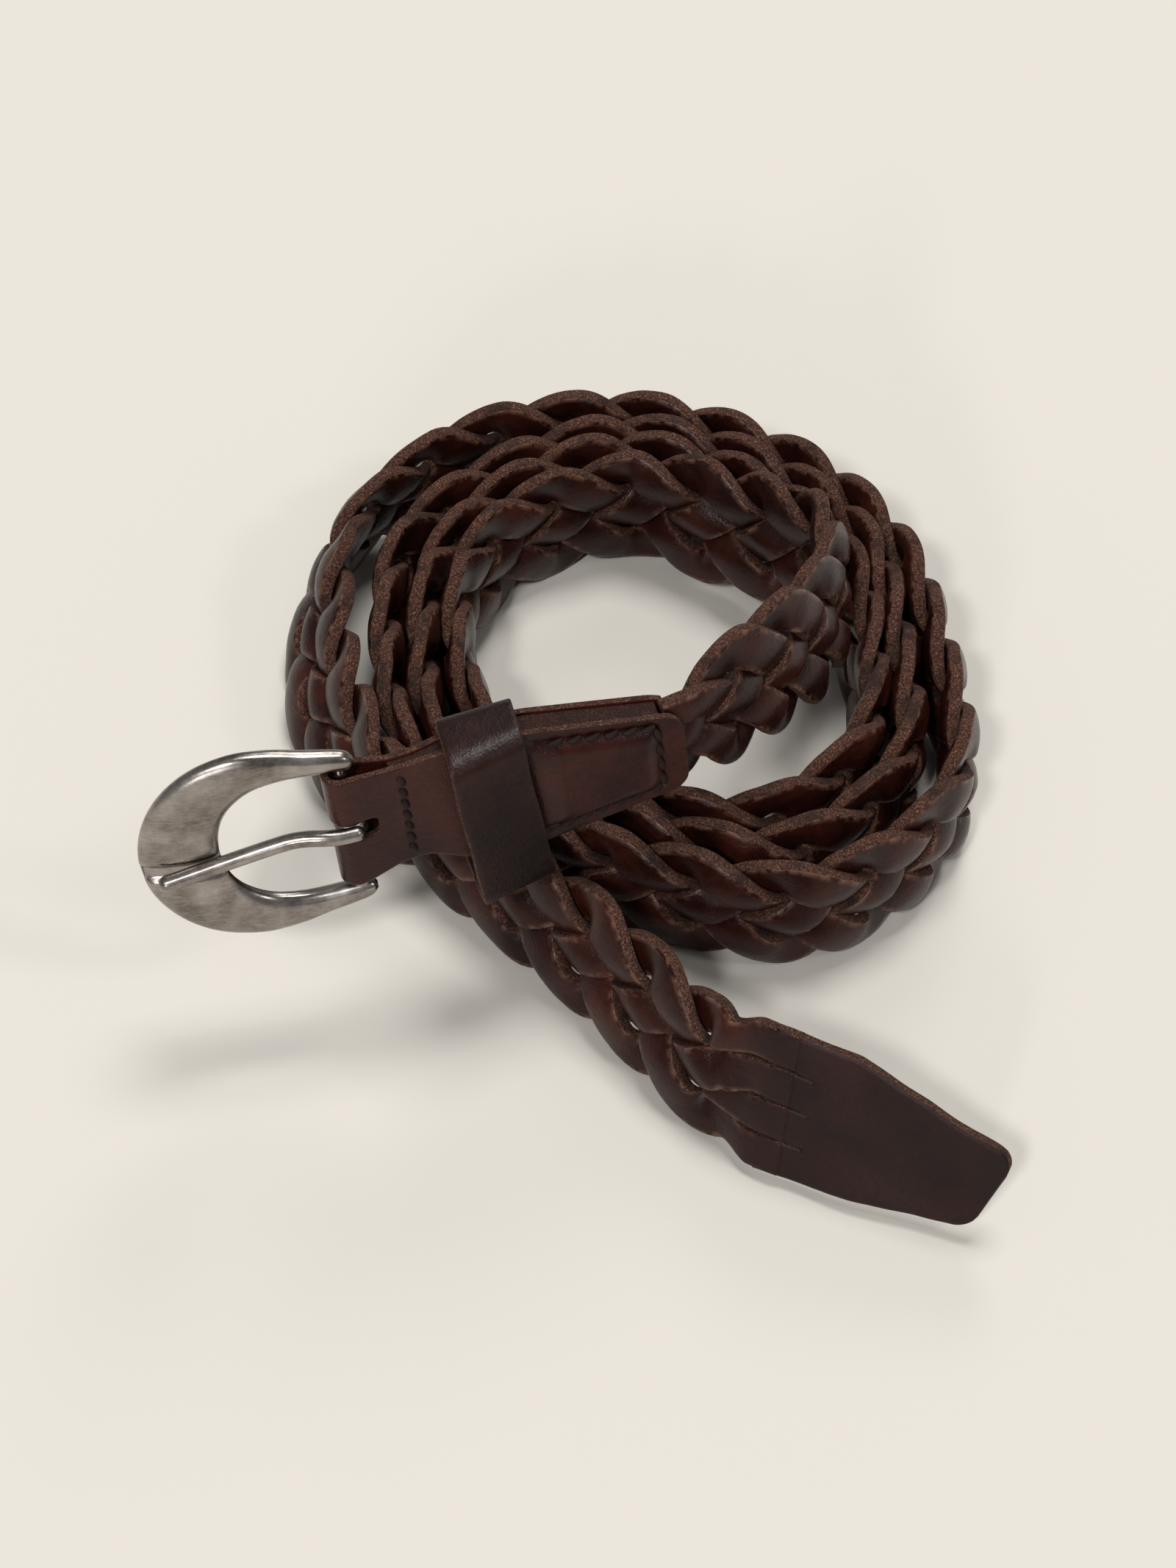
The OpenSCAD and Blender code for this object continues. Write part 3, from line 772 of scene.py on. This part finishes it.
bar_row = [(10.2, n * 2.7 + 0.5) for n in np.arange(-3.5, 3.6)]
row_top = [(ROW_S + n * 3.35, ROW_U - n * 0.5) for n in range(7)]
row_end = [(ROW_END, 7 - n * 3.5) for n in (1, 2, 3)]
row_low = [(s, -u) for s, u in reversed(row_top)]
stitches("bar_stitch_thread", bar_row, "bar_stitches")
stitches("tab_stitch_thread", row_top + row_end + row_low, "tab_stitches")


# ---------------------------------------------------------------- keeper
KEEPER_S, KEEPER_HANG, KEEPER_TURN = 26.2, -2.6, 2.5
KEEPER_W, KEEPER_H, KEEPER_D, KEEPER_T = 14.0, 33.0, 9.0, 1.6
# the inner radius of its corners, the points on each, and half the gap of the butt joint
CORNER_R, CORNER_STEPS, JOINT_GAP = 2.0, 9, 0.2
# how far the front wall stands out at its middle, and how much less for each mm away from the buckle
STAND_OFF, STAND_SLOPE = 2.6, 0.24


def keeper():
    """The loop of one ply, with a butt joint in the middle of its back."""
    r = CORNER_R + KEEPER_T / 2
    hu, hv = KEEPER_H / 2 + KEEPER_T / 2, KEEPER_D / 2 + KEEPER_T / 2
    path = []
    u0, v0 = hu - r, hv - r
    for cu, cv, a0 in ((u0, v0, 0), (-u0, v0, 90), (-u0, -v0, 180), (u0, -v0, 270)):
        for a in np.linspace(a0, a0 + 90, CORNER_STEPS):
            path.append([cu + r * cosd(a), cv + r * sind(a)])
    path = np.array([*path, path[0]])
    lengths = np.r_[0, np.cumsum(np.linalg.norm(np.diff(path, axis=0), axis=1))]
    joint = lengths[3 * CORNER_STEPS - 1] + (KEEPER_H - 2 * CORNER_R) / 2
    total = lengths[-1]
    t = (joint + np.linspace(JOINT_GAP, total - JOINT_GAP, 120)) % total
    u, v = [np.interp(t, lengths, path[:, i])[:, None] for i in range(2)]
    x = np.linspace(-KEEPER_W / 2, KEEPER_W / 2, 15)[None]
    bow = 0.3 * np.sin(np.linspace(0, 12.56, len(t))) + wander(t, 9, 7, 0.35)
    pts = np.zeros((len(t), x.size, 3))
    pts[..., 0] = x + bow[:, None]
    pts[..., 1] = u
    pts[..., 2] = v + np.clip(v / hv, 0, 1) * (STAND_OFF - STAND_SLOPE * x)
    pts = on_end(pts @ rot("Z", KEEPER_TURN).T + np.array([KEEPER_S, KEEPER_HANG, 0]))
    kept = np.ones((len(t) - 1, x.size - 1), bool)
    o = leather_sheet("keeper_leather", pts, kept, KEEPER_T, [KEEPER_FACE, CUT_EDGE], 0.3)
    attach(o, "keeper")
    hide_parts("keeper")


keeper()


# ---------------------------------------------------------------- buckle
ARM_GAP, FRAME_W, FRAME_LEN, CROWN_HALF = 31.6, 37.0, 38.0, 7.2
FRAME_TILT, FRAME_SLIP = -5.0, -0.7
FRAME_STEPS, FRAME_RING = 14, 36


def smooth_line(points, steps):
    """A smooth curve through all the points."""
    p = np.array(points, float)
    return spline(np.vstack([2 * p[0] - p[1], p, 2 * p[-1] - p[-2]]), steps)


def buckle_frame():
    """The horseshoe: a flattened section swept round, with a rest for the prong on its crown."""
    side, wide, crown = ARM_GAP / 2, FRAME_W / 2, 2 * CROWN_HALF - FRAME_LEN
    # [s and u of the outside, s and u of the inside, half thickness] from an arm's end to the crown
    arm = [
        [2.8, side + 0.1, 2.8, side - 0.8, 0.8], [1.9, side + 1.2, 1.9, side - 1.8, 1.5],
        [0, side + 2, 0, side - 2, 1.8], [-6, side + 3.4, -5.5, side - 1.7, 2.0],
        [-12, wide + 2.3, -10.5, wide - 4.4, 2.1], [-19, wide + 2.8, -15.5, wide - 5.4, 2.2],
        [11.5 - FRAME_LEN, wide + 0.7, crown + 4.4, wide - 7.7, 2.2],
        [5.5 - FRAME_LEN, wide - 3.9, crown + 1.9, 7.8, 2.1],
        [1.4 - FRAME_LEN, 7.8, crown + 0.5, 4.1, 1.9], [-FRAME_LEN, 0, crown, 0, 1.8],
    ]
    line = arm + [[a[0], -a[1], a[2], -a[3], a[4]] for a in arm[-2::-1]]
    c = smooth_line(line, FRAME_STEPS)
    a = np.linspace(0, 2 * math.pi, FRAME_RING, endpoint=False)
    ca, sa = np.cos(a), np.sin(a)
    mid = (c[:, None, 0:2] + c[:, None, 2:4]) / 2
    half = (c[:, None, 2:4] - c[:, None, 0:2]) / 2
    pts = np.zeros((len(c), FRAME_RING, 3))
    pts[..., :2] = mid + half * (np.sign(ca) * np.abs(ca) ** 0.92)[None, :, None]
    pts[..., 2] = c[:, 4, None] * np.sign(sa) * np.abs(sa) ** 0.85
    # the rest for the prong's tip: a shallow groove across the crown with a raised lip beside it
    across = pts[..., 1] + 2.2 + (pts[..., 0] + 30) * 0.09
    on_crown = np.clip((-20 - pts[..., 0]) / 4, 0, 1) * (pts[..., 2] > 0)
    groove = 1.2 * np.exp(-((across / 1.9) ** 4))
    lip = 0.3 * np.exp(-(((across - 3.4) / 1.5) ** 2))
    pts[..., 2] -= on_crown * (groove - lip)
    verts = on_end(pts @ rot("Y", FRAME_TILT).T + np.array([0, FRAME_SLIP, 0])).reshape(-1, 3)
    o = add_mesh("buckle_frame_cast", verts, tube_faces(len(c), FRAME_RING), [NICKEL])
    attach(o, "buckle")
    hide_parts("buckle_frame")


# ---------------------------------------------------------------- prong
EYE_R, EYE_HALF, EYE_STEPS = BAR_R + 0.05, 1.6, 40
PRONG_R, PRONG_STEPS, PRONG_RING = 1.5, 10, 20
WIRE_V = EYE_R + PRONG_R
# the rows that round the wire's ends off
CAP = np.radians([15, 35, 55, 75, 90])


def prong():
    """The bent wire with round ends, and its eye round the heel bar."""
    line = [
        [0.6, 0, WIRE_V], [-2.5, 0.15, WIRE_V - 0.05], [-5.3, 0.45, WIRE_V - 0.45], [-8.4, 0.6, 2.05],
        [-12, 0.25, 1.3], [-20, -0.9, 0.85], [-28, -2.0, 0.7], [-34, -2.8, 0.6],
    ]
    c = smooth_line(line, PRONG_STEPS)
    d = np.gradient(c, axis=0)
    d /= np.linalg.norm(d, axis=1)[:, None]
    back = [c[0] - d[0] * PRONG_R * math.sin(t) for t in CAP[::-1]]
    front = [c[-1] + d[-1] * PRONG_R * math.sin(t) for t in CAP]
    r = np.maximum(PRONG_R * np.cos(np.r_[CAP[::-1], np.zeros(len(c)), CAP]), 0.02)
    c = np.vstack([back, c, front])
    d = np.vstack([np.repeat(d[:1], len(CAP), 0), d, np.repeat(d[-1:], len(CAP), 0)])
    side = np.cross(d, [0, 0, 1.0])
    side /= np.linalg.norm(side, axis=1)[:, None]
    up = np.cross(side, d)
    a = np.linspace(0, 2 * math.pi, PRONG_RING, endpoint=False)[None, :, None]
    pts = c[:, None] + r[:, None, None] * (side[:, None] * np.cos(a) + up[:, None] * np.sin(a))
    verts = [*on_end(pts).reshape(-1, 3)]
    faces = tube_faces(len(c), PRONG_RING)
    # the eye: a section of [radius, u] carried once round the bar
    start = len(verts)
    section = [
        (EYE_R, -EYE_HALF), (EYE_R, EYE_HALF), (EYE_R + 0.9, EYE_HALF),
        (EYE_R + 1.3, 1.2), (EYE_R + 1.3, -1.2), (EYE_R + 0.9, -EYE_HALF),
    ]
    m = len(section)
    turn = np.linspace(0, 2 * math.pi, EYE_STEPS, endpoint=False)
    verts += [*on_end([[r * math.cos(t), u, r * math.sin(t)] for t in turn for r, u in section])]
    for i in range(EYE_STEPS):
        here, there = start + i * m, start + (i + 1) % EYE_STEPS * m
        for j in range(m):
            k = (j + 1) % m
            faces.append((here + j, there + j, there + k, here + k))
    o = add_mesh("prong_cast", verts, faces, [NICKEL])
    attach(o, "prong")
    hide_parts("prong")


buckle_frame()
prong()


# ---------------------------------------------------------------- finish of the kept CAD nodes
def dress(name, m):
    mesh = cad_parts[name].data
    mesh.materials.clear()
    mesh.materials.append(m)


dress("liner", RAW_LEATHER)
dress("heel_bar", NICKEL)
dress("keeper_staple", NICKEL)

# ---------------------------------------------------------------- floor, light and camera
FLOOR_Z = -0.0008
floor_m, _, floor_b = material("floor", 0.95, 0.0, 0.0)
floor_b.inputs["Base Color"].default_value = (0.62, 0.585, 0.53, 1)
bpy.ops.mesh.primitive_plane_add(size=8, location=(0, 0, FLOOR_Z))
floor = bpy.context.object
floor.name = "floor"
floor.data.materials.append(floor_m)

world = bpy.data.worlds.new("studio")
bpy.context.scene.world = world
world.use_nodes = True
world.node_tree.nodes["Background"].inputs["Color"].default_value = (1.0, 1.0, 1.0, 1)
world.node_tree.nodes["Background"].inputs["Strength"].default_value = 0.22


def sun(name, direction, strength, spread):
    """A sun that shines from a direction and is spread degrees wide."""
    light = bpy.data.lights.new(name, "SUN")
    light.energy = strength
    light.angle = math.radians(spread)
    o = bpy.data.objects.new(name, light)
    o.rotation_euler = Vector(direction).to_track_quat("Z", "Y").to_euler()
    bpy.context.scene.collection.objects.link(o)


sun("key", (0.15, 0.25, 1.0), 1.9, 22)
sun("back", (0.2, 0.95, 0.8), 0.5, 20)
sun("fill", (-0.3, -0.75, 0.95), 1.3, 7)
sun("side", (0.8, -0.35, 0.8), 0.35, 9)
sun("low", (-0.2, -1.0, 0.36), 0.6, 7)

CAM_TARGET = np.array([-8.11, -17.65, 0]) + TO_MIDDLE
CAM_DISTANCE, CAM_ELEVATION = 726.7, 50.0
camera_data = bpy.data.cameras.new("camera")
camera_data.lens = 85
camera_data.sensor_width = 36
camera_data.sensor_fit = "AUTO"
camera_data.clip_start = 0.01
camera = bpy.data.objects.new("camera", camera_data)
VIEW = np.array([0, cosd(CAM_ELEVATION), -sind(CAM_ELEVATION)])
camera.location = (CAM_TARGET - CAM_DISTANCE * VIEW) * MM
camera.rotation_euler = (math.radians(90 - CAM_ELEVATION), 0, 0)
bpy.context.scene.collection.objects.link(camera)
bpy.context.scene.camera = camera
bpy.context.scene.view_settings.view_transform = "Standard"
